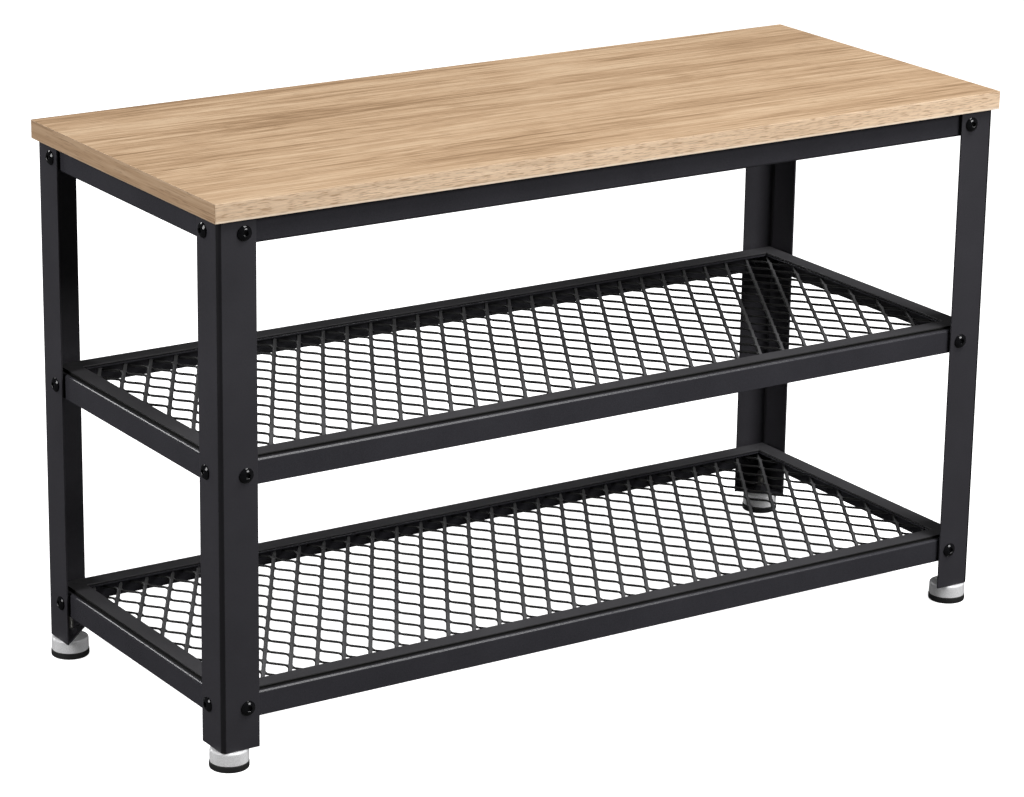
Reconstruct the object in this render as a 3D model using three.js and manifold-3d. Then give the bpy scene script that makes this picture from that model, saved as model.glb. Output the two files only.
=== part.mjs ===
// Entryway bench: an oak-faced seat board on a screwed black steel frame, with two
// expanded-metal shelves and four levelling feet.
// Millimetres, +Z up, X along the bench, origin on the floor under its middle.

import * as THREE from 'three';
import { mergeGeometries, mergeVertices } from 'three/addons/utils/BufferGeometryUtils.js';
import Module from 'manifold-3d';

const wasm = await Module();
wasm.setup();

// Overall sizes
const benchLength = 730;
const benchDepth = 300;
const benchHeight = 445;

// Gap left where one piece rests on another or passes through it
const gap = 0.3;

// Seat board
const boardThickness = 15;
const boardOverhang = 4; // past the leg faces, all round
const boardCornerRadius = 1.2;
const boardEdgeBreak = 0.5;

// Legs: folded angle with a corner plate and a weld nut for the foot
const legFlange = 32;
const legSheet = 1.5;
const legBendRadius = 3;
const cornerPlateThickness = 2;
const weldNutHeight = 5;
const weldNutAcrossFlats = 10;

// Rails: square tube under the board and folded angle round the shelves, both set back behind
// the leg faces
const railSize = 20;
const railWall = 1;
const angleSheet = 1.5;
const railCornerRadius = 2.2;
const railSetBack = 3.5;
const topRailDrop = 0.5; // below the underside of the board
const lowRailAboveLegBottom = 33.5; // to the middle of the lower shelf's rails
const upperShelfRise = 185; // from the lower shelf's rails to the upper shelf's

// Shelves: flat border strip and expanded metal
const borderWidth = 15;
const borderSetBack = 4.5; // behind the rail's outer face
const borderThickness = 1.5;
const meshThickness = 1.2;
const strandWidth = 3;
const meshColumns = 15;
const meshRows = 3;
const smallestOpening = 20; // mm2, smaller corners of the pattern stay filled

// Frame screws and the bushes that take them
const screwFromCorner = 22;
const screwShankRadius = 2.9;
const screwHeadRadius = 5.8;
const screwHeadHeight = 3;
const screwHeadRim = 0.9;
const screwHeadFlatRadius = 3.6;
const screwLength = 13;
const screwSocketAcrossFlats = 4;
const screwSocketDepth = 1.8;
const bushRadius = 5;
const bushDepth = 7; // into the rail

// Board screws, with their heads inside the rail, against its upper wall
const boardScrewFromEnd = 110;
const boardScrewShankRadius = 2;
const boardScrewHeadRadius = 4.2;
const boardScrewHeadHeight = 2.2;
const boardScrewHeadFlatRadius = 2.5;
const boardScrewBite = 10; // into the board
const boardScrewAccessRadius = 5; // hole in the rail's lower wall, for the driver

// Levelling feet
const footFromCorner = 12;
const footRest = 16; // floor to leg bottom, feet screwed right in
const padRadius = 15.5;
const padHeight = 4.9;
const padEdge = 0.8;
const padSpigotRadius = 11;
const padSpigotHeight = 2.2;
const capRadius = 15;
const capEdge = 1.6;
const stemRadius = 3;
const stemChamfer = 0.7;
const stemFlangeRadius = 7;
const stemFlangeHeight = 2;
const stemAboveNut = 14;

// Facets round a full turn
const wideFacets = 20;
const smallFacets = 12;
const bushFacets = 10;

// Places worked out from the sizes above
const frameLength = benchLength - 2 * boardOverhang;
const frameDepth = benchDepth - 2 * boardOverhang;
const boardUnderside = benchHeight - boardThickness;
const legHeight = boardUnderside - gap - footRest;
const topRailCentre = boardUnderside - topRailDrop - railSize / 2;
const lowRailCentre = footRest + lowRailAboveLegBottom;
const upperRailCentre = lowRailCentre + upperShelfRise;
const levels = [
  { name: 'top', centre: topRailCentre },
  { name: 'upper_shelf', centre: upperRailCentre },
  { name: 'lower_shelf', centre: lowRailCentre },
];
const longRail = frameLength - 2 * railSetBack;
const shortRail = frameDepth - 2 * railSetBack;
const screwHoleRadius = screwShankRadius + gap;
const stemHoleRadius = stemRadius + gap;

const finishes = {
  oak: { color: 0xc6a57c, roughness: 0.5, metalness: 0 },
  blackFrame: { color: 0x2b2b2d, roughness: 0.45, metalness: 0.3 },
  blackScrew: { color: 0x141416, roughness: 0.25, metalness: 0.6 },
  whitePlastic: { color: 0xe8e8e6, roughness: 0.45, metalness: 0 },
  blackRubber: { color: 0x19191a, roughness: 0.8, metalness: 0 },
  zincSteel: { color: 0xb4b4b0, roughness: 0.35, metalness: 1 },
};

// The four corners, each with the turn that carries the front left corner to it. A leg's first
// flange holds the end of one rail and its second flange the end of another.
const corners = [
  { name: 'front_left', sx: -1, sy: -1, turn: 0, holds: [['front', 'left'], ['left', 'front']] },
  { name: 'front_right', sx: 1, sy: -1, turn: Math.PI / 2, holds: [['right', 'front'], ['front', 'right']] },
  { name: 'rear_right', sx: 1, sy: 1, turn: Math.PI, holds: [['rear', 'right'], ['right', 'rear']] },
  { name: 'rear_left', sx: -1, sy: 1, turn: -Math.PI / 2, holds: [['left', 'rear'], ['rear', 'left']] },
];

// The four sides a rail lies along, each with the turn that carries the front side to it
const sides = [
  { name: 'front', turn: 0, length: longRail, outward: frameDepth / 2 - railSetBack },
  { name: 'right', turn: Math.PI / 2, length: shortRail, outward: frameLength / 2 - railSetBack },
  { name: 'rear', turn: Math.PI, length: longRail, outward: frameDepth / 2 - railSetBack },
  { name: 'left', turn: -Math.PI / 2, length: shortRail, outward: frameLength / 2 - railSetBack },
];

function toSolid(geometry) {
  const bare = geometry.clone();
  bare.deleteAttribute('normal');
  bare.deleteAttribute('uv');
  const merged = mergeVertices(bare, 1e-4);
  const vertProperties = new Float32Array(merged.attributes.position.array);
  const triVerts = new Uint32Array(merged.index.array);
  return new wasm.Manifold(new wasm.Mesh({ numProp: 3, vertProperties, triVerts }));
}

function toGeometry(solid) {
  const mesh = solid.getMesh();
  const geometry = new THREE.BufferGeometry();
  geometry.setAttribute('position', new THREE.BufferAttribute(new Float32Array(mesh.vertProperties), 3));
  geometry.setIndex(new THREE.BufferAttribute(new Uint32Array(mesh.triVerts), 1));
  return geometry;
}

function makeMesh(name, geometry, finish) {
  const mesh = new THREE.Mesh(geometry, new THREE.MeshStandardMaterial(finishes[finish]));
  mesh.name = name;
  return mesh;
}

function block(x0, x1, y0, y1, z0, z1) {
  const geometry = new THREE.BoxGeometry(x1 - x0, y1 - y0, z1 - z0);
  geometry.translate((x0 + x1) / 2, (y0 + y1) / 2, (z0 + z1) / 2);
  return geometry;
}

function polygonPrism(points, z0, z1) {
  const shape = new THREE.Shape(points.map(([x, y]) => new THREE.Vector2(x, y)));
  const geometry = new THREE.ExtrudeGeometry(shape, { depth: z1 - z0, bevelEnabled: false });
  geometry.translate(0, 0, z0);
  return geometry;
}

// A round bar along one axis, with its centre line at u, v in the other two
function bar(axis, radius, u, v, from, to, facets) {
  const geometry = new THREE.CylinderGeometry(radius, radius, to - from, facets);
  const middle = (from + to) / 2;
  if (axis === 'x') {
    geometry.rotateZ(Math.PI / 2);
    return geometry.translate(middle, u, v);
  }
  if (axis === 'y') {
    return geometry.translate(u, middle, v);
  }
  geometry.rotateX(Math.PI / 2);
  return geometry.translate(u, v, middle);
}

function turned(profile, facets) {
  const points = profile.map(([r, z]) => new THREE.Vector2(r, z));
  const geometry = new THREE.LatheGeometry(points, facets);
  geometry.rotateX(Math.PI / 2);
  return geometry;
}

function roundedRectangle(width, height, radius, path) {
  const x = width / 2 - radius;
  const y = height / 2 - radius;
  path.moveTo(-x, -height / 2);
  path.lineTo(x, -height / 2);
  path.absarc(x, -y, radius, -Math.PI / 2, 0, false);
  path.lineTo(width / 2, y);
  path.absarc(x, y, radius, 0, Math.PI / 2, false);
  path.lineTo(-x, height / 2);
  path.absarc(-x, y, radius, Math.PI / 2, Math.PI, false);
  path.lineTo(-width / 2, -y);
  path.absarc(-x, -y, radius, Math.PI, 1.5 * Math.PI, false);
  return path;
}

// Seat board, with its underside at z = 0 and pilot holes for its screws
function boardGeometry() {
  const outline = roundedRectangle(
    benchLength - 2 * boardEdgeBreak,
    benchDepth - 2 * boardEdgeBreak,
    boardCornerRadius,
    new THREE.Shape(),
  );
  const slab = new THREE.ExtrudeGeometry(outline, {
    depth: boardThickness - 2 * boardEdgeBreak,
    bevelThickness: boardEdgeBreak,
    bevelSize: boardEdgeBreak,
    bevelSegments: 1,
    curveSegments: 1,
  });
  slab.translate(0, 0, boardEdgeBreak);
  let solid = toSolid(slab);
  for (const { x, y } of boardScrewPlaces()) {
    const hole = bar('z', boardScrewShankRadius + gap, x, y, -1, boardScrewBite + gap, bushFacets);
    solid = solid.subtract(toSolid(hole));
  }
  return toGeometry(solid);
}

function boardScrewPlaces() {
  const x = longRail / 2 - boardScrewFromEnd;
  const y = frameDepth / 2 - railSetBack - railSize / 2;
  return corners.map((corner) => ({ name: corner.name, x: corner.sx * x, y: corner.sy * y }));
}

// Leg with its outer corner on the Z axis, its flanges along +X and +Y and its bottom at z = 0
function legGeometry() {
  const innerRadius = legBendRadius - legSheet;
  const section = new THREE.Shape();
  section.moveTo(legBendRadius, 0);
  section.lineTo(legFlange, 0);
  section.lineTo(legFlange, legSheet);
  section.lineTo(legBendRadius, legSheet);
  section.absarc(legBendRadius, legBendRadius, innerRadius, 1.5 * Math.PI, Math.PI, true);
  section.lineTo(legSheet, legFlange);
  section.lineTo(0, legFlange);
  section.lineTo(0, legBendRadius);
  section.absarc(legBendRadius, legBendRadius, legBendRadius, Math.PI, 1.5 * Math.PI, false);
  const options = { depth: legHeight, bevelEnabled: false, curveSegments: 2 };
  let solid = toSolid(new THREE.ExtrudeGeometry(section, options));

  const inFlange = legSheet / 2;
  const platePoints = [
    [inFlange, legBendRadius],
    [legBendRadius, inFlange],
    [legFlange, inFlange],
    [legFlange, legSheet],
    [legSheet, legFlange],
    [inFlange, legFlange],
  ];
  solid = solid.add(toSolid(polygonPrism(platePoints, 0, cornerPlateThickness)));
  const nutTop = cornerPlateThickness + weldNutHeight;
  const nutRadius = weldNutAcrossFlats / Math.sqrt(3);
  const at = footFromCorner;
  solid = solid.add(toSolid(bar('z', nutRadius, at, at, cornerPlateThickness / 2, nutTop, 6)));
  solid = solid.subtract(toSolid(bar('z', stemHoleRadius, at, at, -1, nutTop + 1, smallFacets)));

  for (const level of levels) {
    const z = level.centre - footRest;
    for (const axis of ['x', 'y']) {
      const hole = bar(axis, screwHoleRadius, screwFromCorner, z, -1, legSheet + 1, smallFacets);
      solid = solid.subtract(toSolid(hole));
    }
  }
  return toGeometry(solid);
}

// Rail sections, drawn with x pointing down and y pointing in under the seat
function tubeSection() {
  const section = roundedRectangle(railSize, railSize, railCornerRadius, new THREE.Shape());
  const inside = railSize - 2 * railWall;
  const innerRadius = railCornerRadius - railWall;
  section.holes.push(roundedRectangle(inside, inside, innerRadius, new THREE.Path()));
  return section;
}

// An upright plate on the outside and a flange along its top
function angleSection() {
  const half = railSize / 2;
  const bend = railCornerRadius - half;
  const innerRadius = railCornerRadius - angleSheet;
  const section = new THREE.Shape();
  section.moveTo(half, -half);
  section.lineTo(half, angleSheet - half);
  section.lineTo(bend, angleSheet - half);
  section.absarc(bend, bend, innerRadius, 1.5 * Math.PI, Math.PI, true);
  section.lineTo(angleSheet - half, half);
  section.lineTo(-half, half);
  section.lineTo(-half, bend);
  section.absarc(bend, bend, railCornerRadius, Math.PI, 1.5 * Math.PI, false);
  return section;
}

// Rail along X with mitred ends, its outer face at y = 0 and its middle at z = 0. A bush stands
// out at each end to meet the leg.
function railGeometry(section, length, takesBoardScrews) {
  const profile = new THREE.ExtrudeGeometry(section, { depth: length, bevelEnabled: false, curveSegments: 1 });
  profile.rotateY(Math.PI / 2);
  profile.translate(-length / 2, railSize / 2, 0);

  const reach = 1;
  const outerHalf = length / 2 + reach - gap * Math.SQRT1_2;
  const innerHalf = outerHalf - railSize - 2 * reach;
  const mitre = [
    [-outerHalf, -reach],
    [outerHalf, -reach],
    [innerHalf, railSize + reach],
    [-innerHalf, railSize + reach],
  ];
  let solid = toSolid(profile).intersect(toSolid(polygonPrism(mitre, -railSize, railSize)));

  const bushFace = legSheet + gap - railSetBack;
  for (const end of [-1, 1]) {
    const x = end * (length / 2 - screwFromCorner + railSetBack);
    solid = solid.add(toSolid(bar('y', bushRadius, x, 0, bushFace, bushDepth, bushFacets)));
    const bore = bar('y', screwHoleRadius, x, 0, bushFace - 1, bushDepth + 1, bushFacets);
    solid = solid.subtract(toSolid(bore));
  }
  if (takesBoardScrews) {
    for (const end of [-1, 1]) {
      const x = end * (length / 2 - boardScrewFromEnd);
      const radius = boardScrewShankRadius + gap;
      const hole = bar('z', radius, x, railSize / 2, 0, railSize, bushFacets);
      const access = bar('z', boardScrewAccessRadius, x, railSize / 2, -railSize, 0, wideFacets);
      solid = solid.subtract(toSolid(hole)).subtract(toSolid(access));
    }
  }
  return toGeometry(solid);
}

// The part of a convex outline on the inner side of the line where axis = limit
function clipOutline(points, axis, limit) {
  const sign = Math.sign(limit);
  const inside = (point) => sign * point[axis] < sign * limit;
  const kept = [];
  points.forEach((point, i) => {
    const next = points[(i + 1) % points.length];
    if (inside(point)) {
      kept.push(point);
    }
    if (inside(point) !== inside(next)) {
      const t = (limit - point[axis]) / (next[axis] - point[axis]);
      kept.push([point[0] + t * (next[0] - point[0]), point[1] + t * (next[1] - point[1])]);
    }
  });
  return kept;
}

function outlineArea(points) {
  const crosses = points.map(([x, y], i) => {
    const [nextX, nextY] = points[(i + 1) % points.length];
    return x * nextY - nextX * y;
  });
  return Math.abs(crosses.reduce((sum, cross) => sum + cross, 0)) / 2;
}

// The diamond openings of the expanded metal, cut off at a window of halfX by halfY
function meshOpenings(halfX, halfY) {
  const cellX = (2 * halfX) / meshColumns;
  const cellY = (2 * halfY) / meshRows;
  const strandLean = Math.atan2(cellX, cellY);
  const openX = cellX / 2 - strandWidth / 2 / Math.cos(strandLean);
  const openY = openX / Math.tan(strandLean);
  const openings = [];
  for (let row = -2 * meshRows; row <= 2 * meshRows; row += 1) {
    for (let column = -meshColumns; column <= meshColumns; column += 1) {
      const x = (column + 0.5 * (Math.abs(row) % 2)) * cellX;
      const y = (row * cellY) / 2;
      let outline = [[x - openX, y], [x, y - openY], [x + openX, y], [x, y + openY]];
      for (const [axis, limit] of [[0, -halfX], [0, halfX], [1, -halfY], [1, halfY]]) {
        outline = clipOutline(outline, axis, limit);
      }
      if (outline.length > 2 && outlineArea(outline) > smallestOpening) {
        openings.push(outline);
      }
    }
  }
  return openings;
}

// Shelf panel with its underside at z = 0: expanded metal, its diamonds long across the bench,
// with a flat border strip welded on round its edge
function shelfPanelGeometry() {
  const outerX = longRail / 2 - borderSetBack;
  const outerY = shortRail / 2 - borderSetBack;
  const innerX = outerX - borderWidth;
  const innerY = outerY - borderWidth;
  const openings = meshOpenings(innerX - gap, innerY - gap);
  const cutters = openings.map((outline) => polygonPrism(outline, -1, meshThickness + 1));
  const sheet = toSolid(block(-outerX, outerX, -outerY, outerY, 0, meshThickness));
  const mesh = sheet.subtract(toSolid(mergeGeometries(cutters)));
  const stripBottom = meshThickness / 2;
  const strip = toSolid(block(-outerX, outerX, -outerY, outerY, stripBottom, borderThickness));
  const window = toSolid(block(-innerX, innerX, -innerY, innerY, 0, borderThickness + 1));
  return toGeometry(mesh.add(strip.subtract(window)));
}

// Frame screw on the Z axis, the underside of its domed head at z = 0 and its tip below
function frameScrewGeometry() {
  const profile = [
    [0, -screwLength],
    [screwShankRadius, -screwLength],
    [screwShankRadius, 0],
    [screwHeadRadius, 0],
    [screwHeadRadius, screwHeadRim],
    [screwHeadFlatRadius, screwHeadHeight],
    [0, screwHeadHeight],
  ];
  const socketRadius = screwSocketAcrossFlats / Math.sqrt(3);
  const socketFloor = screwHeadHeight - screwSocketDepth;
  const socket = bar('z', socketRadius, 0, 0, socketFloor, screwHeadHeight + 1, 6);
  return toGeometry(toSolid(turned(profile, smallFacets)).subtract(toSolid(socket)));
}

// Board screw on the Z axis, the top of its head at z = 0 and its tip above
function boardScrewGeometry() {
  const tip = gap + railWall + topRailDrop + boardScrewBite;
  const profile = [
    [0, -boardScrewHeadHeight],
    [boardScrewHeadFlatRadius, -boardScrewHeadHeight],
    [boardScrewHeadRadius, 0],
    [boardScrewShankRadius, 0],
    [boardScrewShankRadius, tip - boardScrewShankRadius],
    [0, tip],
  ];
  return turned(profile, bushFacets);
}

// Foot pieces, on the Z axis with the floor at z = 0
function footPadGeometry() {
  const spigotTop = padHeight + padSpigotHeight;
  return turned(
    [
      [0, 0],
      [padRadius - padEdge, 0],
      [padRadius, padEdge],
      [padRadius, padHeight],
      [padSpigotRadius, padHeight],
      [padSpigotRadius, spigotTop],
      [0, spigotTop],
    ],
    wideFacets,
  );
}

function footStemGeometry() {
  const flangeBottom = padHeight + padSpigotHeight + gap;
  const flangeTop = flangeBottom + stemFlangeHeight;
  const top = footRest + cornerPlateThickness + weldNutHeight + stemAboveNut;
  return turned(
    [
      [0, flangeBottom],
      [stemFlangeRadius, flangeBottom],
      [stemFlangeRadius, flangeTop],
      [stemRadius, flangeTop],
      [stemRadius, top - stemChamfer],
      [stemRadius - stemChamfer, top],
      [0, top],
    ],
    smallFacets,
  );
}

function footCapGeometry() {
  const bottom = padHeight + gap;
  const top = footRest - gap;
  const spigotRoof = padHeight + padSpigotHeight + 0.5 * gap;
  const flangeRoof = padHeight + padSpigotHeight + stemFlangeHeight + 2 * gap;
  return turned(
    [
      [padSpigotRadius + gap, bottom],
      [capRadius, bottom],
      [capRadius, top - capEdge],
      [capRadius - capEdge, top],
      [stemRadius + gap, top],
      [stemRadius + gap, flangeRoof],
      [stemFlangeRadius + gap, flangeRoof],
      [stemFlangeRadius + gap, spigotRoof],
      [padSpigotRadius + gap, spigotRoof],
      [padSpigotRadius + gap, bottom],
    ],
    wideFacets,
  );
}

const bench = new THREE.Group();

const seatBoard = makeMesh('seat_board', boardGeometry(), 'oak');
seatBoard.position.z = boardUnderside;
bench.add(seatBoard);

const boardScrew = boardScrewGeometry();
for (const { name, x, y } of boardScrewPlaces()) {
  const screw = makeMesh(`board_screw_${name}`, boardScrew, 'zincSteel');
  screw.position.set(x, y, topRailCentre + railSize / 2 - railWall - gap);
  bench.add(screw);
}

for (const level of levels) {
  for (const side of sides) {
    const takesBoardScrews = level.name === 'top' && side.length === longRail;
    const section = level.name === 'top' ? tubeSection() : angleSection();
    const geometry = railGeometry(section, side.length, takesBoardScrews);
    const rail = makeMesh(`${level.name}_${side.name}_rail`, geometry, 'blackFrame');
    rail.rotation.z = side.turn;
    const x = side.outward * Math.sin(side.turn);
    rail.position.set(x, -side.outward * Math.cos(side.turn), level.centre);
    bench.add(rail);
  }
}

const shelfPanel = shelfPanelGeometry();
for (const level of levels.slice(1)) {
  const panel = makeMesh(`${level.name}_mesh_panel`, shelfPanel, 'blackFrame');
  panel.position.z = level.centre + railSize / 2 + gap;
  bench.add(panel);
}

const leg = legGeometry();
const frameScrew = frameScrewGeometry();
const foot = {
  pad: makeMesh('pad', footPadGeometry(), 'blackRubber'),
  cap: makeMesh('cap', footCapGeometry(), 'whitePlastic'),
  stem: makeMesh('stem', footStemGeometry(), 'zincSteel'),
};

for (const corner of corners) {
  const group = new THREE.Group();
  group.position.set((corner.sx * frameLength) / 2, (corner.sy * frameDepth) / 2, 0);
  group.rotation.z = corner.turn;
  const legMesh = makeMesh(`leg_${corner.name}`, leg, 'blackFrame');
  legMesh.position.z = footRest;
  group.add(legMesh);

  for (const level of levels) {
    corner.holds.forEach(([side, end], flange) => {
      const screw = makeMesh(`${level.name}_${side}_rail_screw_${end}`, frameScrew, 'blackScrew');
      if (flange === 0) {
        screw.rotation.x = Math.PI / 2;
        screw.position.set(screwFromCorner, -gap, level.centre);
      } else {
        screw.rotation.y = -Math.PI / 2;
        screw.position.set(-gap, screwFromCorner, level.centre);
      }
      group.add(screw);
    });
  }

  for (const [name, piece] of Object.entries(foot)) {
    const footPiece = piece.clone();
    footPiece.name = `foot_${name}_${corner.name}`;
    footPiece.position.set(footFromCorner, footFromCorner, 0);
    group.add(footPiece);
  }
  bench.add(group);
}

export default bench;
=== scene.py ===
import bmesh
import bpy
from math import cos, pi, radians, sin, sqrt
from mathutils import Matrix, Vector


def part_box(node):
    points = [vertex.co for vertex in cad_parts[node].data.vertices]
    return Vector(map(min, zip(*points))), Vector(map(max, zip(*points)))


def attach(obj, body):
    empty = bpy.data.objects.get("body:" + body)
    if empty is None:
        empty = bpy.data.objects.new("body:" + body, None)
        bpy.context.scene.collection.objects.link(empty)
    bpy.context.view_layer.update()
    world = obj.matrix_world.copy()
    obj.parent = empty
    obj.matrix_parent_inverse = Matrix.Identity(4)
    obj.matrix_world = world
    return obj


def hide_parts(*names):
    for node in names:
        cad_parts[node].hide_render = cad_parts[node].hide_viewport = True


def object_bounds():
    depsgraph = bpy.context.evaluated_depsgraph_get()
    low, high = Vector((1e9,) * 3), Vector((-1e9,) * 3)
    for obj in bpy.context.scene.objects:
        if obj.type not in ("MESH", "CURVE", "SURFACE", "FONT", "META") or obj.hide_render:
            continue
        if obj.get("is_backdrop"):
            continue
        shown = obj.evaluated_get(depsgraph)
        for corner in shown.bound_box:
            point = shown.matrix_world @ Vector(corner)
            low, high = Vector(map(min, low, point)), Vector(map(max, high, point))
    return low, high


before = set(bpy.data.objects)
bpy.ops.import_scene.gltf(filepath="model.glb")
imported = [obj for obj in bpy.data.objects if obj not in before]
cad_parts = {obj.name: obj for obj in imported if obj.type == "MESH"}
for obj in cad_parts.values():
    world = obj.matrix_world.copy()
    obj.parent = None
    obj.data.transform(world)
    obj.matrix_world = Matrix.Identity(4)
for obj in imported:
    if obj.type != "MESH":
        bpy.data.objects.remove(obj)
cadLow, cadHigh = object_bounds()
print("frame loaded")

mm = 0.001
corners = {"front_left": (-1, -1, 0), "front_right": (1, -1, 90),
           "rear_right": (1, 1, 180), "rear_left": (-1, 1, 270)}
levels = ["top", "upper_shelf", "lower_shelf"]
shelves = ["upper_shelf", "lower_shelf"]
sideTurns = {"front": 0, "right": 90, "rear": 180, "left": 270}


view = {
    "azimuth": -33.203, "elevation": 17.761, "roll": 0.862,
    "place": (-1.5931, -2.4185, 1.1261), "lens": 130.49, "sensor": 36,
}


def addCamera(values):
    yaw, pitch, roll = (radians(values[k]) for k in ("azimuth", "elevation", "roll"))
    back = Vector((sin(yaw) * cos(pitch), -cos(yaw) * cos(pitch), sin(pitch)))
    right = Vector((cos(yaw), sin(yaw), 0))
    up = right.cross(-back)
    turned = cos(roll) * right + sin(roll) * up
    raised = cos(roll) * up - sin(roll) * right
    camera = bpy.data.objects.new("camera", bpy.data.cameras.new("camera"))
    camera.data.lens = values["lens"]
    camera.data.sensor_width = values["sensor"]
    camera.data.clip_start = 0.1
    camera.data.clip_end = 30
    turn = Matrix((turned, raised, back)).transposed().to_4x4()
    camera.matrix_world = Matrix.Translation(values["place"]) @ turn
    bpy.context.scene.collection.objects.link(camera)
    bpy.context.scene.camera = camera


addCamera(view)
print("camera placed")


def addNode(tree, kind, values=None, links=None, **settings):
    node = tree.nodes.new(kind)
    for name, value in settings.items():
        setattr(node, name, value)
    for name, value in (values or {}).items():
        node.inputs[name].default_value = value
    for name, source in (links or {}).items():
        tree.links.new(source, node.inputs[name])
    return node


def addMath(tree, operation, first, second=None, third=None):
    node = tree.nodes.new("ShaderNodeMath")
    node.operation = operation
    for socket, value in zip(node.inputs, (first, second, third)):
        if isinstance(value, (int, float)):
            socket.default_value = value
        elif value is not None:
            tree.links.new(value, socket)
    return node.outputs[0]


def addNoise(tree, vector, scale, detail=3, roughness=0.5, distortion=0):
    return addNode(tree, "ShaderNodeTexNoise",
                   {"Scale": scale, "Detail": detail, "Roughness": roughness,
                    "Distortion": distortion}, {"Vector": vector}).outputs["Fac"]


def addRamp(tree, source, stops):
    node = addNode(tree, "ShaderNodeValToRGB", links={"Fac": source})
    ramp = node.color_ramp
    while len(ramp.elements) < len(stops):
        ramp.elements.new(1)
    for element, (place, colour) in zip(ramp.elements, stops):
        element.position = place
        element.color = (*colour, 1) if len(colour) == 3 else colour
    return node.outputs["Color"]


def addRange(tree, value, fromLow, fromHigh, toLow=0, toHigh=1):
    return addNode(tree, "ShaderNodeMapRange",
                   {"From Min": fromLow, "From Max": fromHigh, "To Min": toLow, "To Max": toHigh},
                   {"Value": value}).outputs["Result"]


def addMix(tree, factor, first, second, blend="MIX"):
    node = tree.nodes.new("ShaderNodeMix")
    node.data_type = "RGBA"
    node.blend_type = blend
    for socket, value in ((node.inputs[0], factor), (node.inputs[6], first), (node.inputs[7], second)):
        if isinstance(value, (int, float)):
            socket.default_value = value
        elif isinstance(value, tuple):
            socket.default_value = (*value, 1)
        else:
            tree.links.new(value, socket)
    return node.outputs[2]


def newGroup(name, inputs, outputs):
    group = bpy.data.node_groups.new(name, "ShaderNodeTree")
    for label, kind, value in inputs:
        socket = group.interface.new_socket(label, in_out="INPUT", socket_type="NodeSocket" + kind)
        if value is not None:
            socket.default_value = value
    for label, kind in outputs:
        group.interface.new_socket(label, in_out="OUTPUT", socket_type="NodeSocket" + kind)
    return group, group.nodes.new("NodeGroupInput").outputs, group.nodes.new("NodeGroupOutput").inputs


def newMaterial(name, colour, **values):
    material = bpy.data.materials.new(name)
    material.use_nodes = True
    material.diffuse_color = (*colour, 1)
    tree = material.node_tree
    shader = tree.nodes["Principled BSDF"]
    shader.inputs["Base Color"].default_value = (*colour, 1)
    for label, value in values.items():
        shader.inputs[label.replace("_", " ")].default_value = value
    place = addNode(tree, "ShaderNodeTexCoord").outputs["Object"]
    return material, tree, shader, place


def addGroup(tree, group, values=None, links=None):
    node = tree.nodes.new("ShaderNodeGroup")
    node.node_tree = group
    for name, value in (values or {}).items():
        node.inputs[name].default_value = value
    for name, source in (links or {}).items():
        tree.links.new(source, node.inputs[name])
    return node


def addBump(tree, shader, height, strength, distance):
    bump = addNode(tree, "ShaderNodeBump", {"Strength": strength, "Distance": distance},
                   {"Height": height})
    tree.links.new(bump.outputs["Normal"], shader.inputs["Normal"])


def buildCoatGrain():
    group, given, result = newGroup(
        "coatGrain",
        [("Place", "Vector", None), ("Colour", "Color", (0.03, 0.03, 0.03, 1)),
         ("Peel Size", "Float", 900), ("Cloud", "Float", 0.12), ("Roughness", "Float", 0.45)],
        [("Colour", "Color"), ("Roughness", "Float"), ("Height", "Float")])
    peel = addNoise(group, given["Place"], 900, 3, 0.55)
    group.links.new(given["Peel Size"], group.nodes[-1].inputs["Scale"])
    cloud = addNoise(group, given["Place"], 14, 4, 0.6)
    speck = addNoise(group, given["Place"], 1500, 1, 0.4)
    shade = addRange(group, cloud, 0.3, 0.7, -1, 1)
    shade = addMath(group, "MULTIPLY", shade, given["Cloud"])
    shade = addMath(group, "ADD", shade, addRange(group, speck, 0.35, 0.65, 0.9, 1.1))
    toned = addNode(group, "ShaderNodeVectorMath", operation="SCALE",
                    links={0: given["Colour"], "Scale": shade})
    group.links.new(toned.outputs[0], result["Colour"])
    gloss = addRange(group, cloud, 0.3, 0.7, -0.015, 0.015)
    group.links.new(addMath(group, "ADD", given["Roughness"], gloss), result["Roughness"])
    group.links.new(peel, result["Height"])
    return group


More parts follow.
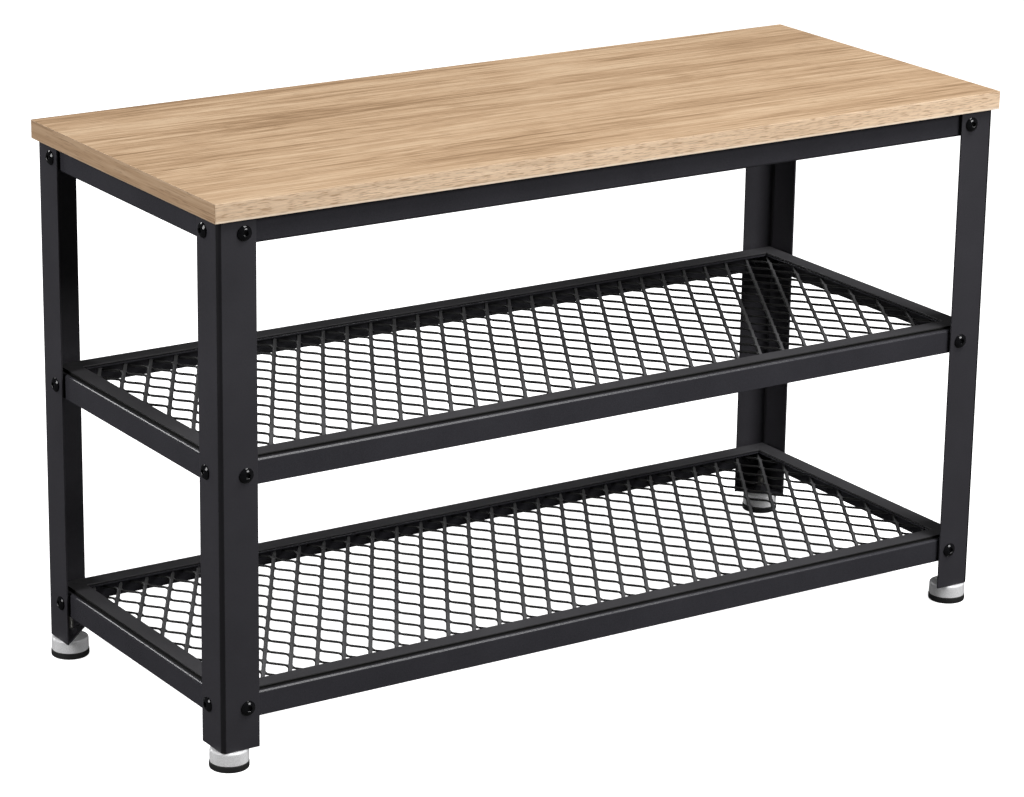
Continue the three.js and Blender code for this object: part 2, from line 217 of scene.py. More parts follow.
def buildOakGrain():
    group, given, result = newGroup(
        "oakGrain",
        [("Place", "Vector", None), ("Contrast", "Float", 1), ("Pore Depth", "Float", 1),
         ("Figure", "Float", 1)],
        [("Colour", "Color"), ("Roughness", "Float"), ("Height", "Float")])
    place = given["Place"]

    def stretched(x, y, z, offset=(0, 0, 0)):
        return addNode(group, "ShaderNodeMapping", {"Scale": (x, y, z), "Location": offset},
                       {"Vector": place}).outputs["Vector"]

    # Growth rings seen flat: level lines of a soft field drawn out along the board
    sway = addNoise(group, stretched(5, 9, 9, (4, 0, 0)), 1, 2, 0.5)
    field = addNoise(group, stretched(2.6, 19, 19, (3.3, 0.4, 0)), 1, 2, 0.4, 0.25)
    level = addMath(group, "ADD", field, addRange(group, sway, 0.3, 0.7, -0.03, 0.03))
    ring = addMath(group, "PINGPONG", addMath(group, "MULTIPLY", level, 26), 1)
    ring = addMath(group, "POWER", ring, 2.4)
    ringFade = addRange(group, addNoise(group, stretched(3.2, 13, 13, (1, 7, 0)), 1, 2), 0.44, 0.66)
    ring = addMath(group, "MULTIPLY", addMath(group, "MULTIPLY", ring, ringFade), given["Figure"])

    band = addNoise(group, stretched(1.5, 30, 30, (0, 4, 0)), 1, 3, 0.55)
    streak = addNoise(group, stretched(5, 170, 170), 1, 4, 0.62)
    fibre = addNoise(group, stretched(16, 620, 620), 1, 3, 0.6)
    pore = addNoise(group, stretched(60, 1300, 1300), 1, 2, 0.5)
    poreMask = addRange(group, pore, 0.58, 0.68)
    fleck = addNoise(group, stretched(9, 95, 95, (5, 2, 0)), 1, 3, 0.6, 0.3)
    fleckShade = addRange(group, fleck, 0.66, 0.80)
    pale = addNoise(group, stretched(1.8, 140, 140, (8, 3, 0)), 1, 2, 0.5)
    paleLine = addRange(group, pale, 0.64, 0.74)

    tone = 0.58
    for source, weight in ((band, 0.26), (streak, 0.34), (fibre, 0.42), (field, 0.16)):
        tone = addMath(group, "ADD", tone, addMath(
            group, "MULTIPLY", addRange(group, source, 0.25, 0.75, -1, 1), weight))
    for source, weight in ((ring, -0.20), (fleckShade, -0.55), (paleLine, 0.30)):
        tone = addMath(group, "ADD", tone, addMath(group, "MULTIPLY", source, weight))
    tone = addMath(group, "MULTIPLY_ADD", addMath(group, "SUBTRACT", tone, 0.58),
                   given["Contrast"], 0.58)
    colour = addRamp(group, tone, [
        (0.0, (0.33, 0.205, 0.115)), (0.3, (0.46, 0.30, 0.178)),
        (0.6, (0.575, 0.39, 0.242)), (1.0, (0.70, 0.51, 0.338))])
    dark = addMath(group, "MULTIPLY", poreMask, 0.42)
    colour = addMix(group, dark, colour, (0.20, 0.115, 0.06))
    group.links.new(colour, result["Colour"])
    group.links.new(addRange(group, streak, 0.3, 0.7, 0.44, 0.54), result["Roughness"])
    height = addMath(group, "SUBTRACT", addMath(group, "MULTIPLY", fibre, 0.35),
                     addMath(group, "MULTIPLY", poreMask, given["Pore Depth"]))
    group.links.new(height, result["Height"])
    return group


coatGrain = buildCoatGrain()
oakGrain = buildOakGrain()
print("shared effects built")


def coatMaterial(name, colour, roughness, peel, cloud, bump, distance=0.00012, **values):
    values = values or {"Specular_IOR_Level": 0.35}
    material, tree, shader, place = newMaterial(name, colour, **values)
    coat = addGroup(tree, coatGrain,
                    {"Colour": (*colour, 1), "Peel Size": peel, "Cloud": cloud,
                     "Roughness": roughness}, {"Place": place}).outputs
    tree.links.new(coat["Colour"], shader.inputs["Base Color"])
    tree.links.new(coat["Roughness"], shader.inputs["Roughness"])
    addBump(tree, shader, coat["Height"], bump, distance)
    return material


def oakMaterial(name, turn, shift, toneAndPaintedLight, contrast, poreDepth, figure, extra=None):
    material, tree, shader, place = newMaterial(name, (0.55, 0.38, 0.24), Specular_IOR_Level=0.3)
    laid = addNode(tree, "ShaderNodeMapping", {"Rotation": turn, "Location": shift},
                   {"Vector": place}).outputs["Vector"]
    oak = addGroup(tree, oakGrain, {"Contrast": contrast, "Pore Depth": poreDepth,
                                    "Figure": figure}, {"Place": laid}).outputs
    colour = oak["Colour"]
    if extra:
        colour = extra(tree, place, colour)
    # This multiplier sets the board's tone, and on the edges it also carries painted light and painted
    # shade
    colour = addMix(tree, 1, colour, toneAndPaintedLight, "MULTIPLY")
    tree.links.new(colour, shader.inputs["Base Color"])
    tree.links.new(oak["Roughness"], shader.inputs["Roughness"])
    addBump(tree, shader, oak["Height"], 0.25, 0.0002)
    return material


def ovalFigure(tree, place, colour):
    wave = addNoise(tree, addNode(tree, "ShaderNodeMapping", {"Scale": (9, 40, 0)},
                                  {"Vector": place}).outputs["Vector"], 1, 3, 0.5)
    centred = addNode(tree, "ShaderNodeMapping", {"Location": (-0.33, -1.0, 0),
                                                  "Scale": (6.2, 32, 0)}, {"Vector": place})
    reach = addNode(tree, "ShaderNodeVectorMath", operation="LENGTH",
                    links={0: centred.outputs["Vector"]}).outputs["Value"]
    reach = addMath(tree, "ADD", reach, addRange(tree, wave, 0.3, 0.7, -0.3, 0.3))
    ring = addMath(tree, "PINGPONG", addMath(tree, "MULTIPLY", reach, 4.5), 1)
    ring = addMath(tree, "POWER", ring, 3)
    fade = addRange(tree, reach, 0.55, 1.5, 0.42, 0)
    colour = addMix(tree, addMath(tree, "MULTIPLY", ring, fade), colour, (0.36, 0.22, 0.12))
    return addMix(tree, addRange(tree, reach, 0.1, 0.5, 0.25, 0), colour, (0.68, 0.49, 0.32))


def edgeBandPores(tree, place, colour):
    dashes = addNoise(tree, addNode(
        tree, "ShaderNodeMapping", {"Scale": (85, 300, 1250)}, {"Vector": place}).outputs["Vector"],
        1, 2, 0.55)
    marks = addRange(tree, dashes, 0.53, 0.63, 0, 0.62)
    colour = addMix(tree, marks, colour, (0.25, 0.12, 0.05))
    height = addNode(tree, "ShaderNodeSeparateXYZ", links={"Vector": place}).outputs["Z"]
    low = addRange(tree, height, seat["underside"] + 0.0012, seat["underside"] + 0.0022, 1, 0)
    return addMix(tree, addMath(tree, "MULTIPLY", low, 0.55), colour, (0.74, 0.58, 0.42))


def edgeBandLines(tree, place, colour):
    height = addNode(tree, "ShaderNodeSeparateXYZ", links={"Vector": place}).outputs["Z"]
    fromTop = addMath(tree, "SUBTRACT", cadHigh.z, height)
    fromBottom = addMath(tree, "SUBTRACT", height, seat["underside"])
    near = addMath(tree, "MINIMUM", fromTop, fromBottom)
    line = addRange(tree, near, 0.0006, 0.0014, 1, 0)
    return addMix(tree, addMath(tree, "MULTIPLY", line, 0.4), colour, (0.72, 0.56, 0.4))


seat = {
    "underside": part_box("seat_board")[0].z, "edgeBreak": 0.5 * mm, "cornerRadius": 1.2 * mm,
    "topTint": (0.98, 0.98, 0.97), "longEdgePaintedLight": (1.62, 1.78, 1.98), "endPaintedShade": (0.84, 0.82, 0.81),
}
oakTop = oakMaterial("oakTop", (0, 0, 0), (0, 0, -cadHigh.z), seat["topTint"], 1.35, 0.6, 1.0,
                     ovalFigure)
# The front and rear edges are brightened well above the oak's own colour as painted light
oakLongEdge = oakMaterial("oakLongEdge", (radians(90), 0, 0), (0.3, 0.02, 0), seat["longEdgePaintedLight"],
                          0.45, 1.0, 0.2, edgeBandPores)
# Both end faces are darkened below the oak's own colour as painted shade
oakEnd = oakMaterial("oakEnd", (0, 0, radians(90)), (0.1, 0.4, 0.05), seat["endPaintedShade"],
                     0.8, 0.8, 0.2, edgeBandLines)
oakUnder = oakMaterial("oakUnder", (0, 0, 0), (0.7, 0.3, 0.2), (0.9, 0.9, 0.9), 0.6, 0.4, 0.6)

# bendPaintedShade is painted shade: a darker copy of the leg coat on the legs' outer bend, standing for
# the dark reflection along the bend
bendPaintedShade = coatMaterial("bendPaintedShade", (0.013, 0.0125, 0.0145), 0.36, 850, 0.10, 0.3)
legCoat = coatMaterial("legCoat", (0.041, 0.0395, 0.046), 0.44, 850, 0.10, 0.3)
railCoat = coatMaterial("railCoat", (0.041, 0.040, 0.047), 0.25, 900, 0.10, 0.15)
# meshPaintedLightCoat is the frame's black powder coat with its colour raised as painted light, so the
# strands' top faces read lit
meshPaintedLightCoat = coatMaterial("meshPaintedLightCoat", (0.105, 0.105, 0.108), 0.42, 1100, 0.12, 0.3)
bandCoat = coatMaterial("bandCoat", (0.058, 0.057, 0.061), 0.43, 950, 0.14, 0.3)
# paintedShadeCoat is painted shade: a near-black copy of the frame's powder coat, put on the shelf
# rails' flange tops, the bands' outer edges and the expanded metal's strand rims, where there is only
# shade
paintedShadeCoat = coatMaterial("paintedShadeCoat", (0.006, 0.006, 0.006), 0.6, 950, 0.1, 0.3)
screwBlack = coatMaterial("screwBlack", (0.006, 0.006, 0.007), 0.06, 600, 0.2, 0.01)


fineBump = 0.0001
zincPlate = coatMaterial("zincPlate", (0.56, 0.55, 0.52), 0.33, 1600, 0.2, 0.15, fineBump, Metallic=1)
capWhite = coatMaterial("capWhite", (0.93, 0.93, 0.94), 0.3, 1300, 0.01, 0.05, fineBump,
                        Coat_Weight=0.3, Coat_Roughness=0.25)
padBlack = coatMaterial("padBlack", (0.014, 0.014, 0.014), 0.62, 1300, 0.2, 0.5, fineBump,
                        Coat_Weight=0.0, Coat_Roughness=0.25)
print("finishes built")


def linkPiece(name, mesh, body, slotName, *nodes, weighted=True):
    piece = bpy.data.objects.new(name, mesh)
    bpy.context.scene.collection.objects.link(piece)
    if weighted:
        addModifier(piece, "WEIGHTED_NORMAL", keep_sharp=True)
    finishPiece(piece, body, slotName, *nodes)
    return piece


def finishPiece(piece, body, slotName, *nodes):
    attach(piece, body)
    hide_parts(*nodes)


def newMesh(name, shape, materials, smoothBelow=40):
    mesh = bpy.data.meshes.new(name)
    bmesh.ops.recalc_face_normals(shape, faces=shape.faces)
    for face in shape.faces:
        face.smooth = True
    for edge in shape.edges:
        if len(edge.link_faces) == 2 and edge.calc_face_angle(0) > radians(smoothBelow):
            edge.smooth = False
    shape.to_mesh(mesh)
    shape.free()
    for material in materials:
        mesh.materials.append(material)
    return mesh


def addModifier(piece, kind, **settings):
    modifier = piece.modifiers.new(kind.lower(), kind)
    for name, value in settings.items():
        setattr(modifier, name, value)
    return modifier


def addLoops(shape, loops, closed=False, capped=True):
    rings = [[shape.verts.new(point) for point in loop] for loop in loops]
    count = len(rings[0])
    pairs = list(zip(rings, rings[1:])) + ([(rings[-1], rings[0])] if closed else [])
    for lower, upper in pairs:
        for i in range(count):
            j = (i + 1) % count
            shape.faces.new((lower[i], lower[j], upper[j], upper[i]))
    if capped and not closed:
        shape.faces.new(rings[0][::-1])
        shape.faces.new(rings[-1])
    return rings


def addTurned(shape, profile, centre, axis=(0, 0, 1), steps=40):
    turn = Vector((0, 0, 1)).rotation_difference(Vector(axis)).to_matrix()
    start = Vector(centre)
    rings = []
    for radius, height in profile:
        if radius < 1e-7:
            rings.append([shape.verts.new(start + turn @ Vector((0, 0, height)))])
            continue
        rings.append([shape.verts.new(start + turn @ Vector((
            radius * cos(2 * pi * i / steps), radius * sin(2 * pi * i / steps), height)))
            for i in range(steps)])
    for lower, upper in zip(rings, rings[1:]):
        for i in range(steps):
            j = (i + 1) % steps
            if len(lower) == 1:
                shape.faces.new((lower[0], upper[i], upper[j]))
            elif len(upper) == 1:
                shape.faces.new((lower[i], lower[j], upper[0]))
            else:
                shape.faces.new((lower[i], lower[j], upper[j], upper[i]))


def arc(centreX, centreY, radius, start, end, steps):
    turns = [radians(start + (end - start) * i / steps) for i in range(steps + 1)]
    return [(centreX + radius * cos(t), centreY + radius * sin(t)) for t in turns]


def roundedBox(halfX, halfY, radius, steps):
    x, y = halfX - radius, halfY - radius
    return (arc(x, y, radius, 0, 90, steps) + arc(-x, y, radius, 90, 180, steps)
            + arc(-x, -y, radius, 180, 270, steps) + arc(x, -y, radius, 270, 360, steps))


def turnShape(shape, degrees, place=(0, 0, 0), fresh=None):
    verts = fresh if fresh is not None else shape.verts
    matrix = Matrix.Translation(place) @ Matrix.Rotation(radians(degrees), 4, "Z")
    bmesh.ops.transform(shape, matrix=matrix, verts=verts)


def buildSeat(values):
    low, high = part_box("seat_board")
    middle = (low + high) / 2
    shape = bmesh.new()
    edge = values["edgeBreak"]
    loops = []
    for z, inset in ((low.z, edge), (low.z + 0.3 * edge, 0.3 * edge), (low.z + edge, 0),
                     (high.z - edge, 0), (high.z - 0.3 * edge, 0.3 * edge), (high.z, edge)):
        outline = roundedBox((high.x - low.x) / 2 - inset, (high.y - low.y) / 2 - inset,
                             values["cornerRadius"] - inset * 0.8, 4)
        loops.append([(middle.x + x, middle.y + y, z) for x, y in outline])
    addLoops(shape, loops)
    bmesh.ops.recalc_face_normals(shape, faces=shape.faces)
    for face in shape.faces:
        normal = face.normal
        if normal.z > 0.5:
            face.material_index = 0
        elif normal.z < -0.9:
            face.material_index = 3
        else:
            face.material_index = 1 if abs(normal.y) > abs(normal.x) else 2
    mesh = newMesh("seatBoard", shape, [oakTop, oakLongEdge, oakEnd, oakUnder], 30)
    linkPiece("seat_board_oak", mesh, "frame", "oak_board", "seat_board")


buildSeat(seat)
print("seat board built")


leg = {
    "flange": 32 * mm, "sheet": 1.5 * mm, "bend": 3 * mm, "edgeRound": 0.35 * mm,
    "plate": 2 * mm, "nutHeight": 5 * mm, "nutFlats": 10 * mm, "footAt": 12 * mm,
    "weldRadius": 1.1 * mm, "bore": 3.3 * mm, "endBreak": 0.25 * mm, "plateInset": 0.6 * mm,
    "beadStart": 8 * mm, "beadPitch": 8 * mm, "beadStep": 0.6 * mm, "beads": 3, "nutSteps": 24,
}


def legSection(values, shrink=0):
    flange, sheet = values["flange"] - shrink, values["sheet"]
    bend, tip = values["bend"], values["edgeRound"]
    low, high = shrink, sheet - shrink
    outer = bend - shrink
    inner = bend - high
    points = arc(bend, bend, outer, 180, 270, 8)
    points += arc(flange - tip, low + tip, tip, 270, 360, 3)
    points += arc(flange - tip, high - tip, tip, 0, 90, 3)
    points += [(bend, high)]
    points += arc(bend, bend, inner, 270, 180, 8)[1:-1]
    points += [(high, bend)]
    points += arc(high - tip, flange - tip, tip, 0, 90, 3)
    points += arc(low + tip, flange - tip, tip, 90, 180, 3)
    return points


def buildLeg(name, values):
    sideX, sideY, turn = corners[name]
    low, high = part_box("leg_" + name)
    shape = bmesh.new()
    edge = values["endBreak"]
    loops = [[(x, y, z) for x, y in legSection(values, inset)]
             for z, inset in ((low.z, edge), (low.z + edge, 0), (high.z - edge, 0), (high.z, edge))]
    addLoops(shape, loops)

    half, top = values["sheet"] / 2, values["plate"]
    reach = values["flange"] - values["plateInset"]
    plate = [(half, values["bend"]), (values["bend"], half), (reach, half),
             (reach, values["sheet"]), (values["sheet"], reach), (half, reach)]
    addLoops(shape, [[(x, y, low.z + z) for x, y in plate] for z in (0.2 * mm, top)])

    at, nutTop = values["footAt"], top + values["nutHeight"]
    nutRadius = values["nutFlats"] / sqrt(3)
    rings = []
    for z, grow, facets in ((top - 0.3 * mm, 1, 1), (nutTop - 0.7 * mm, 1, 1), (nutTop, 0.87, 0)):
        ring = []
        for i in range(values["nutSteps"]):
            t = 2 * pi * i / values["nutSteps"]
            flat = cos(pi / 6) / cos((t % (pi / 3)) - pi / 6)
            r = nutRadius * (flat if facets else 0.985) * grow
            ring.append((at + r * cos(t), at + r * sin(t), low.z + z))
        rings.append(ring)
    for z in (nutTop, top - 0.3 * mm):
        turns = [2 * pi * i / values["nutSteps"] for i in range(values["nutSteps"])]
        rings.append([(at + values["bore"] * cos(t), at + values["bore"] * sin(t), low.z + z)
                      for t in turns])
    addLoops(shape, rings, closed=True)

    # Weld beads where the plate meets the two flanges
    for along in (0, 1):
        for bead in range(values["beads"]):
            start = values["beadStart"] + bead * values["beadPitch"]
            loops = []
            for i in range(9):
                swell = values["weldRadius"] * (0.35 + 0.65 * sin(pi * i / 8))
                swell *= 1 + 0.12 * (i % 2)
                s = start + i * values["beadStep"]
                ring = []
                for k in range(8):
                    t = 2 * pi * k / 8
                    u, v = values["sheet"] + swell * cos(t), top + swell * sin(t)
                    ring.append((s, u, low.z + v) if along else (u, s, low.z + v))
                loops.append(ring)
            addLoops(shape, loops)

    shape.normal_update()
    # Faces on the outer bend get the painted shade of the bend's dark reflection
    for face in shape.faces:
        middle = face.calc_center_median()
        onBend = max(middle.x, middle.y) < values["bend"] and min(face.normal.x, face.normal.y) < 0
        face.material_index = 1 if onBend and abs(face.normal.z) < 0.5 else 0

    corner = (low.x if sideX < 0 else high.x, low.y if sideY < 0 else high.y, 0)
    turnShape(shape, turn, corner)
    mesh = newMesh("leg_" + name, shape, [legCoat, bendPaintedShade], 50)
    linkPiece("leg_shell_" + name, mesh, "frame", "black_frame", "leg_" + name)


for name in corners:
    buildLeg(name, leg)
print("legs built")


rail = {
    "size": 20 * mm, "wall": 1 * mm, "sheet": 1.5 * mm, "radius": 2.2 * mm, "steps": 6,
    "edgeRound": 0.35 * mm, "bush": 5 * mm, "bushOut": 1.7 * mm, "bushDepth": 7 * mm,
    "bushFromEnd": 18.5 * mm, "bore": 3.2 * mm, "access": 5 * mm, "accessFromEnd": 110 * mm,
}


def angleOutline(values):
    size, sheet, radius, tip = (values[k] for k in ("size", "sheet", "radius", "edgeRound"))
    bend, top = size / 2 - radius, size / 2
    points = arc(tip, tip - top, tip, 180, 270, 3) + arc(sheet - tip, tip - top, tip, 270, 360, 3)
    points += arc(radius, bend, radius - sheet, 180, 90, 5)
    points += arc(size - tip, top - sheet + tip, tip, 270, 360, 3)
    points += arc(size - tip, top - tip, tip, 0, 90, 3)
    points += arc(radius, bend, radius, 90, 180, values["steps"] + 2)
    return points


def cutAccess(shape, length, values):
    bmesh.ops.recalc_face_normals(shape, faces=shape.faces)
    mesh = bpy.data.meshes.new("tube")
    shape.to_mesh(mesh)
    shape.free()
    drill = bmesh.new()
    half = values["size"] / 2
    for end in (-1, 1):
        at = (end * (length / 2 - values["accessFromEnd"]), half, 0)
        addTurned(drill, [(0, -half - mm), (values["access"], -half - mm),
                          (values["access"], 3 * mm - half), (0, 3 * mm - half)], at)
    tube = bpy.data.objects.new("tube", mesh)
    cutter = bpy.data.objects.new("drill", newMesh("drill", drill, []))
    for item in (tube, cutter):
        bpy.context.scene.collection.objects.link(item)
    addModifier(tube, "BOOLEAN", operation="DIFFERENCE", solver="EXACT", object=cutter)
    bpy.context.view_layer.update()
    graph = bpy.context.evaluated_depsgraph_get()
    cut = bpy.data.meshes.new_from_object(tube.evaluated_get(graph), depsgraph=graph)
    drilled = bmesh.new()
    drilled.from_mesh(cut)
    for item in (tube, cutter):
        bpy.data.objects.remove(item)
    bpy.data.meshes.remove(cut)
    return drilled


def buildRail(level, side, values):
    node = f"{level}_{side}_rail"
    low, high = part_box(node)
    alongX = side in ("front", "rear")
    length = (high.x - low.x) if alongX else (high.y - low.y)
    size, wall = values["size"], values["wall"]
    shape = bmesh.new()
    outer = roundedBox(size / 2, size / 2, values["radius"], values["steps"])
    inner = roundedBox(size / 2 - wall, size / 2 - wall, values["radius"] - wall, values["steps"])

    def ring(section, end, depth=size / 2):
        return [(end * (length / 2 - (y + depth)), y + depth, z) for y, z in section]

    if level == "top":
        addLoops(shape, [ring(outer, -1), ring(outer, 1), ring(inner, 1), ring(inner, -1)], closed=True)
        bushEnd = wall / 2
        if alongX:
            shape = cutAccess(shape, length, values)
    else:
        section = angleOutline(values)
        addLoops(shape, [ring(section, -1, 0), ring(section, 1, 0)])
        # The flange top faces between the rail's bend and the band get painted shade, drawn as a dark
        # groove
        for face in shape.faces:
            if min(vert.co.z for vert in face.verts) > size / 2 - 1e-6:
                face.material_index = 1
        bushEnd = values["bushDepth"]
    for end in (-1, 1):
        x = end * (length / 2 - values["bushFromEnd"])
        steps = 28
        rings = []
        for radius, y in ((values["bush"] - 0.3 * mm, bushEnd), (values["bush"], bushEnd - 0.3 * mm),
                          (values["bush"], 0.25 * mm - values["bushOut"]),
                          (values["bush"] - 0.25 * mm, -values["bushOut"]),
                          (values["bore"], -values["bushOut"]), (values["bore"], bushEnd)):
            rings.append([(x + radius * cos(2 * pi * i / steps), y,
                           radius * sin(2 * pi * i / steps)) for i in range(steps)])
        addLoops(shape, rings, closed=True)
    middle = (low.z + high.z) / 2
    outward = abs(low.y if side == "front" else high.y if side == "rear"
                  else high.x if side == "right" else low.x)
    # The box includes the bushes, which stand out of the rail's face
    outward -= values["bushOut"]
    turn = sideTurns[side]
    place = (outward * sin(radians(turn)), -outward * cos(radians(turn)), middle)
    turnShape(shape, turn, place)
    mesh = newMesh(node, shape, [railCoat, paintedShadeCoat], 50)
    linkPiece(f"{level}_{side}_bar", mesh, "frame", "black_frame", node)


for level in levels:
    for side in sideTurns:
        buildRail(level, side, rail)
print("rails built")


band = {"width": 15 * mm, "thickness": 1.5 * mm, "edgeRound": 0.3 * mm, "seam": 0.15 * mm}


def buildBand(level, values):
    low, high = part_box(level + "_mesh_panel")
    shape = bmesh.new()
    top, bottom = high.z, high.z - values["thickness"]
    soft = values["edgeRound"]
    section = [(soft, bottom), (values["width"] - soft, bottom), (values["width"], bottom + soft),
               (values["width"], top - soft), (values["width"] - soft, top), (soft, top),
               (0, top - soft), (0, bottom + soft)]
    halfX, halfY = high.x, high.y
    for side in range(4):
        loops = []
        long, wide = (halfX, halfY) if side % 2 == 0 else (halfY, halfX)
        for end in (-1, 1):
            loops.append([(end * (long - inset - values["seam"] * 0.5), inset - wide, z)
                          for inset, z in section])
        rings = addLoops(shape, loops)
        turnShape(shape, 90 * side, fresh=[v for r in rings for v in r])
    shape.normal_update()
    # The band's outer edge faces get painted shade, drawn as a dark line along the band
    for face in shape.faces:
        middle = face.calc_center_median()
        outer = max(abs(middle.x) - halfX, abs(middle.y) - halfY) > -soft
        face.material_index = 1 if outer and abs(face.normal.z) < 0.8 else 0
    mesh = newMesh(level + "_band", shape, [bandCoat, paintedShadeCoat], 50)
    linkPiece(level + "_band", mesh, "frame", "black_frame", level + "_mesh_panel")


for level in shelves:
    buildBand(level, band)
print("shelf bands built")

expanded = {
    "upper_shelf": {"Pitch X": 22.84 * mm, "Pitch Y": 39.55 * mm, "shiftX": 11.3 * mm,
                    "shiftY": 9.9 * mm, "belowRailTop": 4.0 * mm},
    "lower_shelf": {"Pitch X": 23.91 * mm, "Pitch Y": 39.4 * mm, "shiftX": -3 * mm,
                    "shiftY": 15.2 * mm, "belowRailTop": 4.1 * mm},
}
sheet = {"Strand Width": 3.1 * mm, "Bond Length": 5.2 * mm, "Lift": 1.3 * mm,
         "Columns": 40, "Rows": 11, "thickness": 1.6 * mm, "lap": 5 * mm}


def geometryTree(name, inputs):
    tree = bpy.data.node_groups.new(name, "GeometryNodeTree")
    tree.interface.new_socket("Geometry", in_out="INPUT", socket_type="NodeSocketGeometry")
    for label, kind, value in inputs:
        socket = tree.interface.new_socket(label, in_out="INPUT", socket_type="NodeSocket" + kind)
        if value is not None:
            socket.default_value = value
    tree.interface.new_socket("Geometry", in_out="OUTPUT", socket_type="NodeSocketGeometry")
    return tree, tree.nodes.new("NodeGroupInput").outputs, tree.nodes.new("NodeGroupOutput").inputs


def runTree(tree, source, values, name):
    holder = bpy.data.objects.new(name, source)
    bpy.context.scene.collection.objects.link(holder)
    modifier = holder.modifiers.new("made", "NODES")
    modifier.node_group = tree
    for item in tree.interface.items_tree:
        if item.item_type == "SOCKET" and item.in_out == "INPUT" and item.name in values:
            modifier[item.identifier] = values[item.name]
    bpy.context.view_layer.update()
    graph = bpy.context.evaluated_depsgraph_get()
    mesh = bpy.data.meshes.new_from_object(holder.evaluated_get(graph), depsgraph=graph)
    holder.modifiers.remove(modifier)
    bpy.data.objects.remove(holder)
    return mesh


def buildCellTree():
    tree, given, result = geometryTree("expandedMetal", [
        ("Pitch X", "Float", 0.0223), ("Pitch Y", "Float", 0.04), ("Columns", "Int", 40),
        ("Rows", "Int", 9), ("Cell", "Object", None), ("Finish", "Material", None)])
    cell = addNode(tree, "GeometryNodeObjectInfo", links={"Object": given["Cell"]}).outputs["Geometry"]
    even = addGridPoints(tree, given, 0)
    odd = addGridPoints(tree, given, 0.5)
    both = tree.nodes.new("GeometryNodeJoinGeometry")
    tree.links.new(even, both.inputs[0])
    tree.links.new(odd, both.inputs[0])
    placed = addNode(tree, "GeometryNodeInstanceOnPoints",
                     links={"Points": both.outputs[0], "Instance": cell}).outputs[0]
    solid = addNode(tree, "GeometryNodeRealizeInstances", links={"Geometry": placed}).outputs[0]
    joined = addNode(tree, "GeometryNodeMergeByDistance", {"Distance": 0.00005},
                     {"Geometry": solid}).outputs[0]
    painted = addNode(tree, "GeometryNodeSetMaterial",
                      links={"Geometry": joined, "Material": given["Finish"]}).outputs[0]
    tree.links.new(painted, result["Geometry"])
    return tree


def addGridPoints(tree, given, share):
    sizeX = addMath(tree, "MULTIPLY", given["Pitch X"], addMath(tree, "SUBTRACT", given["Columns"], 1))
    sizeY = addMath(tree, "MULTIPLY", given["Pitch Y"], addMath(tree, "SUBTRACT", given["Rows"], 1))
    grid = addNode(tree, "GeometryNodeMeshGrid",
                   links={"Size X": sizeX, "Size Y": sizeY, "Vertices X": given["Columns"],
                          "Vertices Y": given["Rows"]}).outputs["Mesh"]
    offset = addNode(tree, "ShaderNodeCombineXYZ",
                     links={"X": addMath(tree, "MULTIPLY", given["Pitch X"], share),
                            "Y": addMath(tree, "MULTIPLY", given["Pitch Y"], share)}).outputs[0]
    moved = addNode(tree, "GeometryNodeSetPosition", links={"Geometry": grid, "Offset": offset})
    return moved.outputs[0]


def buildCell(values):
    width, bond, lift = values["Strand Width"], values["Bond Length"], values["Lift"]
    stepX, stepY = values["Pitch X"] / 2, values["Pitch Y"] / 2
    top = bond / 2
    bends = (0, 0.16, 0.84, 1)
    shape = bmesh.new()

    def strip(first, second, places):
        rows = []
        for t in places:
            rows.append([shape.verts.new(Vector(a).lerp(Vector(b), t)) for a, b in zip(first, second)])
        for lower, upper in zip(rows, rows[1:]):
            for k in range(len(lower) - 1):
                shape.faces.new((lower[k], lower[k + 1], upper[k + 1], upper[k]))

    strip([(-width, -top, lift), (0, -top, 0), (width, -top, -lift)],
          [(-width, top, lift), (0, top, 0), (width, top, -lift)], (0, 1))
    strip([(0, top, 0), (width, top, -lift)],
          [(stepX - width, stepY - top, lift), (stepX, stepY - top, 0)], bends)
    strip([(-width, top, lift), (0, top, 0)],
          [(-stepX, stepY - top, 0), (width - stepX, stepY - top, -lift)], bends)
    mesh = bpy.data.meshes.new("cell")
    shape.to_mesh(mesh)
    shape.free()
    holder = bpy.data.objects.new("cell", mesh)
    bpy.context.scene.collection.objects.link(holder)
    return holder


